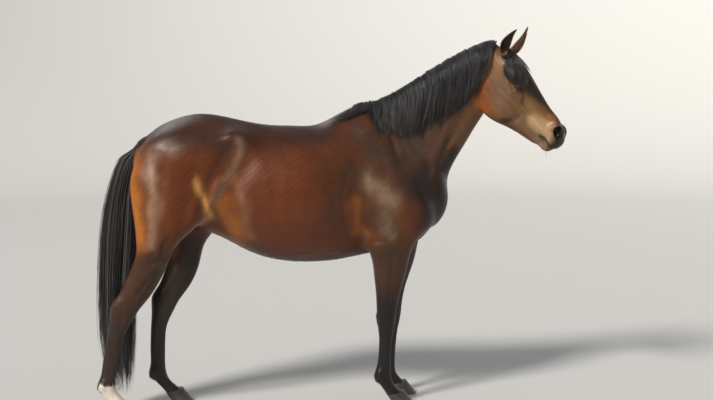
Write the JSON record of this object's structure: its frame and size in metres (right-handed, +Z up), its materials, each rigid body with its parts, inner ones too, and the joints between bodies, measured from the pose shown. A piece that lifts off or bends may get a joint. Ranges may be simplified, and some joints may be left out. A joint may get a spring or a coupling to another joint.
{
  "type": "standing horse",
  "caption": "Life-size still model of a standing bay horse, with its head turned slightly and its mane and tail hanging.",
  "frame": {"origin": "on the floor, under the middle of the animal's bounding box, with the soles at z = 0", "axes": "+X the way the body faces, +Y towards the horse's left side, +Z up"},
  "size_m": [2.4859, 0.6201, 2.026],
  "materials": {
    "head": "short glossy hair over skin",
    "neck": "short glossy hair over skin",
    "trunk": "short glossy hair over skin",
    "foreleg_left": "short black hair over skin",
    "foreleg_right": "short black hair over skin",
    "hindleg_left": "short black hair over skin",
    "hindleg_right": "short black hair over skin, white above the hoof",
    "hoof_fore_left": "satin horn",
    "hoof_fore_right": "satin horn",
    "hoof_hind_left": "satin horn",
    "hoof_hind_right": "satin pale horn",
    "ear_left": "short hair",
    "ear_right": "short hair",
    "eye_left": "wet gloss",
    "eye_right": "wet gloss",
    "mane": "long glossy black hair",
    "forelock": "long glossy black hair",
    "tail": "long glossy black hair"
  },
  "bodies": {
    "root": {"head": "head", "neck": "neck", "trunk": "trunk", "foreleg_left": "foreleg_left", "foreleg_right": "foreleg_right", "hindleg_left": "hindleg_left", "hindleg_right": "hindleg_right", "hoof_fore_left": "hoof_fore_left", "hoof_fore_right": "hoof_fore_right", "hoof_hind_left": "hoof_hind_left", "hoof_hind_right": "hoof_hind_right", "ear_left": "ear_left", "ear_right": "ear_right", "eye_left": "eye_left", "eye_right": "eye_right", "mane": "mane", "forelock": "forelock", "tail": "tail"}
  },
  "joints": []
}
